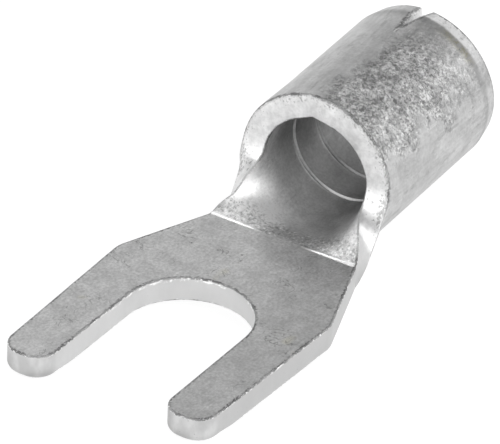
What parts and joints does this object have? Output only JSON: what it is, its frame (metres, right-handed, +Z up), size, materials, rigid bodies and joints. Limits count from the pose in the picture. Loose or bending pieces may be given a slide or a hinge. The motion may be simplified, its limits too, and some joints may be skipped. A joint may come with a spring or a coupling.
{
  "type": "fork terminal",
  "caption": "Bare crimp fork terminal: a flat forked tongue that slides under a stud's nut, a pinched neck and a rolled wire barrel with a brazed seam.",
  "frame": {"origin": "middle of the slot's round end, where the stud's axis passes the tongue's underside", "axes": "+X from the stud along the tongue towards the wire barrel, +Z up along the stud's axis, out of the tongue's upper face"},
  "size_m": [0.0285, 0.012, 0.0086],
  "materials": {
    "tinned_copper": "dull tin plating over copper sheet, satin, with fine handling scratches"
  },
  "bodies": {
    "root": {"fork_terminal": "tinned_copper"}
  },
  "joints": []
}
